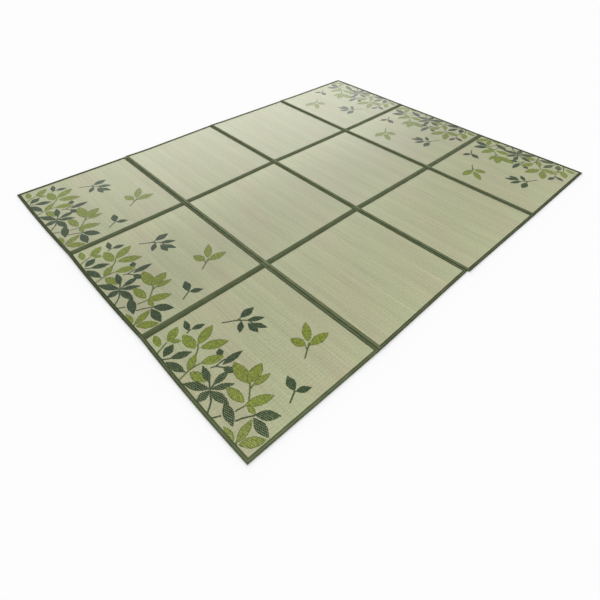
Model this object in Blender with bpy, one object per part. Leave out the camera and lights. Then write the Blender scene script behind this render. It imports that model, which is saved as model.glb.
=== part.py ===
"""A folding rush mat of twelve panels, laid open on the floor.

Four rows lie one after another along X. Each row is three woven rush panels side by side along Y, joined
by two flat seam tapes and bound all round with folded tape, mitred at the corners. The rows meet edge to
edge at three folds. Each piece is shaped as it is cut, flat and square, and then laid out with the small
shifts and lifts that the open mat has.

Units are metres, +Z is up, and the origin is on the floor under the middle of the mat. "Start" is the -X
edge of the mat or of a row, "finish" its +X edge, "left" its +Y edge and "right" its -Y edge.
"""

import math

import bmesh
import bpy

# Driving dimensions of the mat
MAT_LENGTH = 2.300
MAT_WIDTH = 1.800
ROW_COUNT = 4
STRIP_COUNT = 3

# Driving dimensions of the sheets and tapes
PANEL_THICKNESS = 0.0030
TAPE_THICKNESS = 0.0008
SEAM_TAPE_WIDTH = 0.0285
BINDING_WIDTH = 0.0142
SEAM_OPENING = 0.0040
FOLD_OPENING = 0.0006
CLEARANCE = 0.0003

# Small shapes of the tapes
TAPE_EDGE_ROUND = 0.0004
TAPE_SHOULDER = 0.0016
BINDING_ROUND_DEPTH = 0.0020
BINDING_WALL = 0.0011
BINDING_ROUND_STEPS = 4
TAPE_TUCK = 0.0010
BUMP_FLAT = 0.0012
BUMP_RAMP = 0.0065

# The panel's underside steps up over the binding's lower leg, between these distances from a bound edge
STEP_INNER = BINDING_WIDTH + 0.0008
STEP_OUTER = STEP_INNER + 0.0030

# How far in from a fold a lifted edge reaches, and the points between where its curve is drawn
LIFT_REACH = 0.160
LIFT_MIDWAY = 0.080

# The mat's start and finish edges bulge outwards between the seams by this much
START_BULGE = 0.0050
FINISH_BULGE = 0.0030

MILLIMETRE = 0.001

# How far the crossings lie from an even grid, towards +X, in millimetres
#   left edge, first seam, second seam, right edge
SHIFT_ALONG = {
    "start edge": (-4.0, -4.0, -4.0, -5.3),
    "first fold": (-8.0, -8.0, -9.0, -3.0),
    "second fold": (-4.0, -4.0, -5.0, 3.0),
    "third fold": (-2.0, -4.0, 2.0, 6.0),
    "finish edge": (8.0, 4.0, -2.0, 5.0),
}

# The same towards +Y, in millimetres
#   start edge, first fold, second fold, third fold, finish edge
SHIFT_ACROSS = {
    "left edge": (10.0, 0.0, 11.0, 2.0, 2.0),
    "first seam": (2.0, -4.0, 5.0, -2.0, 4.0),
    "second seam": (-6.0, -6.0, 0.0, -5.0, -3.0),
    "right edge": (-4.0, -9.0, -3.0, -11.0, -10.0),
}

# At the second fold the rows' right corners are out of line: one is drawn in and the next stands out
CORNER_STEP = {("row 2", "finish"): 3.0, ("row 3", "start"): -5.0}

# How high each row's fold edges stand off the floor, in millimetres
#   left edge, first seam, second seam, right edge
EDGE_LIFT = {
    ("row 1", "start"): (0.0, 1.2, 0.4, 0.0),
    ("row 1", "finish"): (1.2, 0.5, 0.8, 0.4),
    ("row 2", "start"): (4.5, 3.0, 1.8, 1.2),
    ("row 2", "finish"): (0.6, 0.2, 0.4, 0.0),
    ("row 3", "start"): (2.2, 1.6, 1.8, 1.4),
    ("row 3", "finish"): (0.4, 0.8, 0.5, 0.5),
    ("row 4", "start"): (2.4, 2.0, 2.2, 1.2),
    ("row 4", "finish"): (0.0, 0.4, 1.0, 1.5),
}

# Worked out from the sizes above
ROW_PITCH = MAT_LENGTH / ROW_COUNT
STRIP_PITCH = MAT_WIDTH / STRIP_COUNT
PANEL_INSET = BINDING_WALL + CLEARANCE
LEG_TOP = TAPE_THICKNESS
PANEL_EDGE_BOTTOM = LEG_TOP + CLEARANCE
TAPE_BOTTOM = PANEL_THICKNESS + CLEARANCE
TAPE_TOP = TAPE_BOTTOM + TAPE_THICKNESS
BUMP_HEIGHT = TAPE_THICKNESS + CLEARANCE


def between(first, last, part):
    """The value that lies `part` of the way from `first` to `last`."""
    return first + (last - first) * part


def across_row(values, strip_place):
    """Reads a table line with a value for each long line, at a place counted in strips from the left edge."""
    strip = min(max(int(strip_place), 0), STRIP_COUNT - 1)
    return between(values[strip], values[strip + 1], strip_place - strip)


class Row:
    """One bound row of the mat: where it is cut to, and how it lies."""

    def __init__(self, number):
        self.number = number
        self.name = f"row {number}"
        self.fold_start = -MAT_LENGTH / 2 + (number - 1) * ROW_PITCH
        self.start = self.fold_start + (FOLD_OPENING / 2 if number > 1 else 0.0)
        self.finish = self.fold_start + ROW_PITCH - (FOLD_OPENING / 2 if number < ROW_COUNT else 0.0)
        self.left = MAT_WIDTH / 2
        self.right = -MAT_WIDTH / 2

    def shift_along(self, row_place, strip_place):
        """How far a point is moved towards +X."""
        lines = list(SHIFT_ALONG.values())
        at_start = across_row(lines[self.number - 1], strip_place)
        at_finish = across_row(lines[self.number], strip_place)
        strip_part = strip_place % 1.0
        bulge = 4.0 * strip_part * (1.0 - strip_part) / MILLIMETRE
        if self.number == 1:
            at_start -= START_BULGE * bulge
        if self.number == ROW_COUNT:
            at_finish += FINISH_BULGE * bulge
        return between(at_start, at_finish, row_place) * MILLIMETRE

    def shift_across(self, row_place, strip_place):
        """How far a point is moved towards +Y."""
        lines = [list(line) for line in SHIFT_ACROSS.values()]
        at_start = [line[self.number - 1] for line in lines]
        at_finish = [line[self.number] for line in lines]
        at_start[-1] += CORNER_STEP.get((self.name, "start"), 0.0)
        at_finish[-1] += CORNER_STEP.get((self.name, "finish"), 0.0)
        start = across_row(at_start, strip_place)
        finish = across_row(at_finish, strip_place)
        return between(start, finish, row_place) * MILLIMETRE

    def lift(self, x, strip_place):
        """How high a point is raised: a fold edge stands up and eases down to the floor inside the row."""
        height = 0.0
        for end, distance in (("start", x - self.start), ("finish", self.finish - x)):
            ease = max(0.0, 1.0 - max(distance, 0.0) / LIFT_REACH) ** 2
            height += across_row(EDGE_LIFT[self.name, end], strip_place) * ease
        return height * MILLIMETRE

    def laid(self, x, y, z):
        """Where a point of the flat, square row comes to lie on the floor."""
        row_place = (x - self.fold_start) / ROW_PITCH
        strip_place = min(max((self.left - y) / STRIP_PITCH, 0.0), float(STRIP_COUNT))
        return (
            x + self.shift_along(row_place, strip_place),
            y + self.shift_across(row_place, strip_place),
            z + self.lift(x, strip_place),
        )

    def seam(self, number):
        """The y of a seam's middle line, the first seam being nearest the left edge."""
        return self.left - number * STRIP_PITCH

    def cuts_along(self, inset):
        """The places along X where every piece of the row has points, from `inset` inside each end."""
        middle = (self.start + self.finish) / 2
        half = [inset, STEP_INNER, STEP_OUTER, LIFT_MIDWAY, LIFT_REACH]
        return [self.start + d for d in half] + [middle] + [self.finish - d for d in reversed(half)]


def clear_scene():
    """Removes every object of the opening scene."""
    for obj in list(bpy.data.objects):
        bpy.data.objects.remove(obj, do_unlink=True)


def make_material(name, colour, roughness):
    """A plain finish for one kind of piece."""
    material = bpy.data.materials.new(name)
    material.use_nodes = True
    surface = material.node_tree.nodes["Principled BSDF"]
    surface.inputs["Base Color"].default_value = (*colour, 1.0)
    surface.inputs["Roughness"].default_value = roughness
    surface.inputs["Metallic"].default_value = 0.0
    material.diffuse_color = (*colour, 1.0)
    return material


def cut_through(bm, places, axis):
    """Cuts the mesh across at each place along X or Y, so that it has points there to bend at."""
    normal = (1.0, 0.0, 0.0) if axis == "X" else (0.0, 1.0, 0.0)
    for place in places:
        geometry = bm.verts[:] + bm.edges[:] + bm.faces[:]
        point = tuple(place * part for part in normal)
        bmesh.ops.bisect_plane(bm, geom=geometry, dist=1e-6, plane_co=point, plane_no=normal)


def finish_piece(name, bm, material, smooth_angle):
    """Turns the finished mesh into a named object, with its faces pointing outwards."""
    bmesh.ops.recalc_face_normals(bm, faces=bm.faces)
    if bm.calc_volume(signed=True) < 0.0:
        bmesh.ops.reverse_faces(bm, faces=bm.faces)
    mesh = bpy.data.meshes.new(name)
    bm.to_mesh(mesh)
    bm.free()
    mesh.materials.append(material)
    mesh.shade_smooth()
    mesh.set_sharp_from_angle(angle=math.radians(smooth_angle))
    piece = bpy.data.objects.new(name, mesh)
    bpy.context.scene.collection.objects.link(piece)
    return piece


def step_height(distance):
    """The underside's height at this distance from a bound edge."""
    part = (STEP_OUTER - distance) / (STEP_OUTER - STEP_INNER)
    return PANEL_EDGE_BOTTOM * min(max(part, 0.0), 1.0)


def make_panel(row, strip, material):
    """One square of rush: a thin slab whose underside steps up where the binding folds under it."""
    left_seam = strip > 1
    right_seam = strip < STRIP_COUNT
    left_line = row.left - (strip - 1) * STRIP_PITCH
    right_line = left_line - STRIP_PITCH
    tape_half = SEAM_TAPE_WIDTH / 2
    left_cuts = [SEAM_OPENING / 2, tape_half] if left_seam else [PANEL_INSET, STEP_INNER, STEP_OUTER]
    right_cuts = [SEAM_OPENING / 2, tape_half] if right_seam else [PANEL_INSET, STEP_INNER, STEP_OUTER]
    thirds = [left_line - STRIP_PITCH * part / 3 for part in (1, 2)]
    ys = [left_line - d for d in left_cuts] + thirds + [right_line + d for d in reversed(right_cuts)]
    xs = row.cuts_along(PANEL_INSET)

    bm = bmesh.new()
    bmesh.ops.create_cube(bm, size=1.0)
    for vert in bm.verts:
        vert.co.x = xs[0] if vert.co.x < 0 else xs[-1]
        vert.co.y = ys[-1] if vert.co.y < 0 else ys[0]
        vert.co.z = 0.0 if vert.co.z < 0 else 1.0
    cut_through(bm, xs[1:-1], "X")
    cut_through(bm, ys[1:-1], "Y")

    for vert in bm.verts:
        x, y, on_top = vert.co
        bound = [x - row.start, row.finish - x]
        if not left_seam:
            bound.append(row.left - y)
        if not right_seam:
            bound.append(y - row.right)
        z = PANEL_THICKNESS if on_top > 0.5 else step_height(min(bound))
        vert.co = row.laid(x, y, z)
    return finish_piece(f"panel_{row.number}_{strip}", bm, material, 30.0)


def extrude_outline(outline, length):
    """A bar of the given outline, drawn across Y and Z and run along X from 0 to `length`."""
    bm = bmesh.new()
    face = bm.faces.new([bm.verts.new((0.0, d, z)) for d, z in outline])
    made = bmesh.ops.extrude_face_region(bm, geom=[face])
    far_verts = [item for item in made["geom"] if isinstance(item, bmesh.types.BMVert)]
    bmesh.ops.translate(bm, verts=far_verts, vec=(length, 0.0, 0.0))
    return bm


def make_seam_tape(row, seam, material):
    """A flat tape over the opening between two panels, its ends tucked under the bindings."""
    half = SEAM_TAPE_WIDTH / 2
    side_top = TAPE_TOP - TAPE_EDGE_ROUND
    outline = [
        (-half, TAPE_BOTTOM),
        (0.0, TAPE_BOTTOM),
        (half, TAPE_BOTTOM),
        (half, side_top),
        (half - TAPE_SHOULDER, TAPE_TOP),
        (0.0, TAPE_TOP),
        (-half + TAPE_SHOULDER, TAPE_TOP),
        (-half, side_top),
    ]
    cuts = row.cuts_along(PANEL_INSET + TAPE_TUCK)
    bm = extrude_outline(outline, cuts[-1] - cuts[0])
    cut_through(bm, [x - cuts[0] for x in cuts[1:-1]], "X")
    middle = row.seam(seam)
    for vert in bm.verts:
        vert.co = row.laid(cuts[0] + vert.co.x, middle + vert.co.y, vert.co.z)
    return finish_piece(f"seam_tape_{row.number}_{seam}", bm, material, 40.0)


def binding_outline():
    """The folded tape in section, as (distance in from the outer edge, height): two legs and a round side."""
    outline = [(BINDING_WIDTH, 0.0)]
    for step in range(BINDING_ROUND_STEPS + 1):
        angle = math.radians(-90.0 + 180.0 * step / BINDING_ROUND_STEPS)
        depth = BINDING_ROUND_DEPTH * (1.0 - math.cos(angle))
        outline.append((depth, TAPE_TOP / 2 * (1.0 + math.sin(angle))))
    outline += [
        (BINDING_WIDTH - TAPE_EDGE_ROUND, TAPE_TOP),
        (BINDING_WIDTH, TAPE_TOP - TAPE_EDGE_ROUND),
        (BINDING_WIDTH, TAPE_BOTTOM),
        (BINDING_WALL, TAPE_BOTTOM),
        (BINDING_WALL, LEG_TOP),
        (BINDING_WIDTH, LEG_TOP),
    ]
    return outline


def mitred_bar(length, cuts):
    """A length of binding along X whose ends are cut at 45 degrees, with points at the given cuts."""
    bm = extrude_outline(binding_outline(), length)
    for vert in bm.verts:
        cut_back = vert.co.y + CLEARANCE / 2 * math.sqrt(2.0)
        vert.co.x += cut_back if vert.co.x < length / 2 else -cut_back
    cut_through(bm, cuts, "X")
    return bm


def make_end_binding(row, end, material):
    """The binding along one of the row's long edges. Its upper leg rises over the ends of the seam tapes."""
    reach = SEAM_TAPE_WIDTH / 2 + BUMP_FLAT
    seam_places = [STRIP_PITCH * seam for seam in range(1, STRIP_COUNT)]
    cuts = [STEP_OUTER, MAT_WIDTH - STEP_OUTER]
    cuts += [STRIP_PITCH * (strip + part / 3) for strip in range(STRIP_COUNT) for part in (1, 2)]
    for place in seam_places:
        cuts += [place + d for d in (-reach - BUMP_RAMP, -reach, 0.0, reach, reach + BUMP_RAMP)]
    bm = mitred_bar(MAT_WIDTH, sorted(cuts))
    for vert in bm.verts:
        along, depth, z = vert.co
        past_flat = min(abs(along - place) for place in seam_places) - reach
        rise = min(max(1.0 - past_flat / BUMP_RAMP, 0.0), 1.0)
        if z > TAPE_TOP / 2:
            z += BUMP_HEIGHT * rise
        x = row.start + depth if end == "start" else row.finish - depth
        vert.co = row.laid(x, row.left - along, z)
    return finish_piece(f"end_binding_{row.number}_{end}", bm, material, 50.0)


def make_side_binding(row, side, material):
    """The binding along one of the row's short edges, at the mat's left or right."""
    cuts = [x - row.start for x in row.cuts_along(0.0)]
    bm = mitred_bar(row.finish - row.start, cuts[2:-2])
    for vert in bm.verts:
        along, depth, z = vert.co
        y = row.left - depth if side == "left" else row.right + depth
        vert.co = row.laid(row.start + along, y, z)
    return finish_piece(f"side_binding_{row.number}_{side}", bm, material, 50.0)


def main():
    """Builds the mat row by row."""
    clear_scene()
    plain_rush = make_material("plain_rush", (0.50, 0.52, 0.36), 0.60)
    leaf_rush = make_material("leaf_rush", (0.36, 0.40, 0.20), 0.60)
    seam_cotton = make_material("seam_cotton", (0.080, 0.105, 0.040), 0.85)
    binding_cotton = make_material("binding_cotton", (0.095, 0.115, 0.055), 0.85)
    for number in range(1, ROW_COUNT + 1):
        row = Row(number)
        at_mat_end = number in (1, ROW_COUNT)
        for strip in range(1, STRIP_COUNT + 1):
            make_panel(row, strip, leaf_rush if at_mat_end else plain_rush)
        for seam in range(1, STRIP_COUNT):
            make_seam_tape(row, seam, seam_cotton)
        for end in ("start", "finish"):
            make_end_binding(row, end, binding_cotton)
        for side in ("left", "right"):
            make_side_binding(row, side, binding_cotton)


main()
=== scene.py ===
"""Looks of a folding rush mat, laid open on a pale floor.

The mat is four bound rows of three woven rush panels. Every sheet and tape is shaped flat at its cut size,
and is then laid with the small shifts and lifts of the open mat. The rush is built course by course, so that
the leaves are woven in whole courses, and the tapes are folded and sewn on as cloth is.

Units are metres and +Z is up. "Start" is the mat's -X edge, "finish" its +X edge, "left" its +Y edge and
"right" its -Y edge. Chart and table values are in millimetres where they say so.
"""

import logging
import math
import random
from dataclasses import dataclass
from enum import Enum
from typing import Callable, Iterable, Sequence

import bmesh
import bpy
import numpy as np
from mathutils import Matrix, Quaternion, Vector

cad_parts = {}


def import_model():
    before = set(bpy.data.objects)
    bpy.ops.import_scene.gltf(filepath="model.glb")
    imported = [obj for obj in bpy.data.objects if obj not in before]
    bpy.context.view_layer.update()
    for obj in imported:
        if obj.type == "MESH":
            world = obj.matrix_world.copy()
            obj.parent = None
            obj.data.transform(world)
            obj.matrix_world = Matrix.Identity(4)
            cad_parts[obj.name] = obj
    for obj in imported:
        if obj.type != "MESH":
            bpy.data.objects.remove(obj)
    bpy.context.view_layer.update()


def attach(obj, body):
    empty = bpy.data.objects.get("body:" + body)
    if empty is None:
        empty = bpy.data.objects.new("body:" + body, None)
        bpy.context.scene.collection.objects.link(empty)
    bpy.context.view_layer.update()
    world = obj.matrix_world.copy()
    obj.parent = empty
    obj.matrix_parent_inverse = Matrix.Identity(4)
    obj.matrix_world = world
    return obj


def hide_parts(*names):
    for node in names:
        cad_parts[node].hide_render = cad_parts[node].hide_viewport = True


Point = tuple[float, float, float]
Colour = tuple[float, float, float]

log = logging.getLogger("rush_mat")

MILLIMETRE = 0.001
BODY = "root"

# Driving dimensions of the mat
MAT_LENGTH = 2.300
MAT_WIDTH = 1.800
ROW_COUNT = 4
STRIP_COUNT = 3
ROW_PITCH = MAT_LENGTH / ROW_COUNT
STRIP_PITCH = MAT_WIDTH / STRIP_COUNT
FOLD_OPENING = 0.0006
LIFT_REACH = 0.160

# Places closer than this are the same place, in metres
MARK_STEP = 1e-6

# The shape of a leaf: the points along each side, how full its sides are, and how far its widest part leans
LEAF_STEPS = 14
BRIGHT_FULLNESS = 0.85
DARK_FULLNESS = 1.1
LEAF_LEAN = 0.96

# How far the mat's start and finish edges bulge between the seams, in millimetres
START_BULGE = 5.0
FINISH_BULGE = 3.0

# How far the crossings lie from an even grid, towards +X, in millimetres
#   left edge, first seam, second seam, right edge
SHIFT_ALONG = {
    "start edge": (-4.0, -4.0, -4.0, -5.3),
    "first fold": (-8.0, -8.0, -9.0, -3.0),
    "second fold": (-4.0, -4.0, -5.0, 3.0),
    "third fold": (-2.0, -4.0, 2.0, 6.0),
    "finish edge": (8.0, 4.0, -2.0, 5.0),
}

# The same towards +Y, in millimetres
#   start edge, first fold, second fold, third fold, finish edge
SHIFT_ACROSS = {
    "left edge": (10.0, 0.0, 11.0, 2.0, 2.0),
    "first seam": (2.0, -4.0, 5.0, -2.0, 4.0),
    "second seam": (-6.0, -6.0, 0.0, -5.0, -3.0),
    "right edge": (-4.0, -9.0, -3.0, -11.0, -10.0),
}

# At the second fold the rows' right corners are out of line, in millimetres
CORNER_STEP = {(2, "finish"): 3.0, (3, "start"): -5.0}

# How high each row's fold edges stand off the floor, in millimetres
#   left edge, first seam, second seam, right edge
EDGE_LIFT = {
    (1, "start"): (0.0, 1.2, 0.4, 0.0),
    (1, "finish"): (1.2, 0.5, 0.8, 0.4),
    (2, "start"): (4.5, 3.0, 1.8, 1.2),
    (2, "finish"): (0.6, 0.2, 0.4, 0.0),
    (3, "start"): (2.2, 1.6, 1.8, 1.4),
    (3, "finish"): (0.4, 0.8, 0.5, 0.5),
    (4, "start"): (2.4, 2.0, 2.2, 1.2),
    (4, "finish"): (0.0, 0.4, 1.0, 1.5),
}

# The camera, as the photograph was taken
CAMERA_PLACE = (-1.3658, -1.3172, 1.1587)
CAMERA_AIM = (-0.6155, -0.5478, 0.0)
CAMERA_ROLL_DEGREES = 1.07
CAMERA_LENS_MM = 24.76
CAMERA_SENSOR_MM = 36.0


class Tone(Enum):
    """The dyed and plain rush that the pattern is woven from."""

    PLAIN = "plain"
    DARK = "dark"
    BRIGHT = "bright"
    RIM = "rim"
    DARK_STEM = "dark stem"
    BRIGHT_STEM = "bright stem"


class End(Enum):
    """The two long edges of a row."""

    START = "start"
    FINISH = "finish"


class Side(Enum):
    """The two short edges of a row, at the mat's left and right."""

    LEFT = "left"
    RIGHT = "right"


def linear(red: int, green: int, blue: int) -> Colour:
    """A screen colour of 0 to 255 as linear light.

    Args:
        red: The red part.
        green: The green part.
        blue: The blue part.

    Returns:
        The three linear parts, from 0 to 1.
    """
    parts = [value / 255.0 for value in (red, green, blue)]
    return tuple(p / 12.92 if p <= 0.04045 else ((p + 0.055) / 1.055) ** 2.4 for p in parts)


def between(first: float, last: float, part: float) -> float:
    """The value that lies `part` of the way from `first` to `last`.

    Args:
        first: The value at the start.
        last: The value at the end.
        part: How far along it is, from 0 to 1.

    Returns:
        The value in between.
    """
    return first + (last - first) * part


def eased(part: float) -> float:
    """A value from 0 to 1 with its ends made level.

    Args:
        part: The value, held between 0 and 1.

    Returns:
        The eased value, from 0 to 1.
    """
    part = min(max(part, 0.0), 1.0)
    return part * part * (3.0 - 2.0 * part)


def mark(value: float) -> int:
    """The whole number that stands for a place, so that two equal places are known as one.

    Args:
        value: The place, in metres.

    Returns:
        The place counted in mark steps.
    """
    return round(value / MARK_STEP)


def across_row(values: Sequence[float], strip_place: float) -> float:
    """Reads a table line with a value for each long line of the mat.

    Args:
        values: The four values, from the left edge to the right edge.
        strip_place: The place, counted in strips from the left edge.

    Returns:
        The value at that place.
    """
    strip = min(max(int(strip_place), 0), STRIP_COUNT - 1)
    return between(values[strip], values[strip + 1], strip_place - strip)


class Drift:
    """A slow, even-tempered wander along a line, the same in every run."""

    def __init__(self, seed: int, reach: float, wavelength: float) -> None:
        """Makes the wander.

        Args:
            seed: Sets which wander this is.
            reach: How far it goes to each side.
            wavelength: The length of its main wave, in metres.
        """
        chance = random.Random(seed)
        self.waves = [
            (reach * size, math.tau / (wavelength * share), chance.uniform(0.0, math.tau))
            for size, share in ((0.55, 1.0), (0.3, 0.47), (0.15, 0.21))
        ]

    def at(self, place: float) -> float:
        """The wander's value at a place along the line.

        Args:
            place: The place, in metres.

        Returns:
            How far the wander is off the line there.
        """
        return sum(size * math.sin(rate * place + phase) for size, rate, phase in self.waves)


@dataclass(frozen=True)
class Row:
    """One bound row of the mat: where it is cut to, and how it lies."""

    number: int

    @property
    def fold_start(self) -> float:
        """The even grid line at the row's start.

        Returns:
            Its x, in metres.
        """
        return -MAT_LENGTH / 2 + (self.number - 1) * ROW_PITCH

    @property
    def start(self) -> float:
        """The row's own start edge.

        Returns:
            Its x, in metres.
        """
        return self.fold_start + (FOLD_OPENING / 2 if self.number > 1 else 0.0)

    @property
    def finish(self) -> float:
        """The row's own finish edge.

        Returns:
            Its x, in metres.
        """
        return self.fold_start + ROW_PITCH - (FOLD_OPENING / 2 if self.number < ROW_COUNT else 0.0)

    @property
    def left(self) -> float:
        """The row's left edge.

        Returns:
            Its y, in metres.
        """
        return MAT_WIDTH / 2

    @property
    def right(self) -> float:
        """The row's right edge.

        Returns:
            Its y, in metres.
        """
        return -MAT_WIDTH / 2

    def seam(self, number: int) -> float:
        """The y of a seam's middle line, the first seam being nearest the left edge.

        Args:
            number: The seam's number, from 1.

        Returns:
            The y, in metres.
        """
        return self.left - number * STRIP_PITCH

    def shift_along(self, row_place: float, strip_place: float) -> float:
        """How far a point is moved towards +X, in metres.

        Args:
            row_place: The place along the row, from 0 at its start to 1 at its finish.
            strip_place: The place across the mat, counted in strips from the left edge.

        Returns:
            The shift, in metres.
        """
        lines = list(SHIFT_ALONG.values())
        at_start = across_row(lines[self.number - 1], strip_place)
        at_finish = across_row(lines[self.number], strip_place)
        strip_part = strip_place % 1.0
        bulge = 4.0 * strip_part * (1.0 - strip_part)
        if self.number == 1:
            at_start -= START_BULGE * bulge
        if self.number == ROW_COUNT:
            at_finish += FINISH_BULGE * bulge
        return between(at_start, at_finish, row_place) * MILLIMETRE

    def shift_across(self, row_place: float, strip_place: float) -> float:
        """How far a point is moved towards +Y, in metres.

        Args:
            row_place: The place along the row, from 0 at its start to 1 at its finish.
            strip_place: The place across the mat, counted in strips from the left edge.

        Returns:
            The shift, in metres.
        """
        lines = [list(line) for line in SHIFT_ACROSS.values()]
        at_start = [line[self.number - 1] for line in lines]
        at_finish = [line[self.number] for line in lines]
        at_start[-1] += CORNER_STEP.get((self.number, "start"), 0.0)
        at_finish[-1] += CORNER_STEP.get((self.number, "finish"), 0.0)
        start = across_row(at_start, strip_place)
        finish = across_row(at_finish, strip_place)
        return between(start, finish, row_place) * MILLIMETRE

    def lift(self, x: float, strip_place: float) -> float:
        """How high a point is raised, in metres: a fold edge stands up and eases down inside the row.

        Args:
            x: The place along the mat.
            strip_place: The place across the mat, counted in strips from the left edge.

        Returns:
            The height above the flat row, in metres.
        """
        height = 0.0
        for end, distance in (("start", x - self.start), ("finish", self.finish - x)):
            ease = max(0.0, 1.0 - max(distance, 0.0) / LIFT_REACH) ** 2
            height += across_row(EDGE_LIFT[self.number, end], strip_place) * ease
        return height * MILLIMETRE

    def laid(self, x: float, y: float, z: float) -> Point:
        """Where a point of the flat, square row comes to lie on the floor.

        Args:
            x: The place along the mat.
            y: The place across it.
            z: The height.

        Returns:
            The point's place in the open mat.
        """
        row_place = (x - self.fold_start) / ROW_PITCH
        strip_place = min(max((self.left - y) / STRIP_PITCH, 0.0), float(STRIP_COUNT))
        return (
            x + self.shift_along(row_place, strip_place),
            y + self.shift_across(row_place, strip_place),
            z + self.lift(x, strip_place),
        )


@dataclass(frozen=True)
class Leaf:
    """One woven leaf, in millimetres on its panel, and its heading in degrees from along to across."""

    tone: Tone
    along: float
    across: float
    length: float
    width: float
    heading: float

    def outline(self, narrower: float = 0.0) -> list[tuple[float, float]]:
        """The leaf's outline, a pointed oval.

        Args:
            narrower: How far the outline is drawn in on each side.

        Returns:
            The outline's points, as (along, across).
        """
        fullness = BRIGHT_FULLNESS if self.tone is Tone.BRIGHT else DARK_FULLNESS
        turn = math.radians(self.heading)
        sides: dict[int, list[tuple[float, float]]] = {1: [], -1: []}
        for step in range(LEAF_STEPS + 1):
            part = step / LEAF_STEPS
            half = max(self.width / 2 * math.sin(math.pi * part**LEAF_LEAN) ** fullness - narrower, 0.0)
            reach = self.length * part
            for side, points in sides.items():
                points.append((
                    self.along + reach * math.cos(turn) - side * half * math.sin(turn),
                    self.across + reach * math.sin(turn) + side * half * math.cos(turn),
                ))
        return sides[1] + sides[-1][::-1]


@dataclass(frozen=True)
class Stem:
    """One woven stem: a line through points in millimetres on its panel."""

    tone: Tone
    points: tuple[tuple[float, float], ...]
    width: float = 6.0

    def pieces(self) -> list[list[tuple[float, float]]]:
        """The outline of each straight length of the stem.

        Returns:
            One outline of four points for each straight length.
        """
        outlines = []
        for (a, b), (c, d) in zip(self.points, self.points[1:]):
            reach = math.hypot(c - a, d - b)
            side_a, side_b = -(d - b) / reach * self.width / 2, (c - a) / reach * self.width / 2
            outlines.append([
                (a + side_a, b + side_b), (c + side_a, d + side_b),
                (c - side_a, d - side_b), (a - side_a, b - side_b),
            ])
        return outlines


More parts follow.
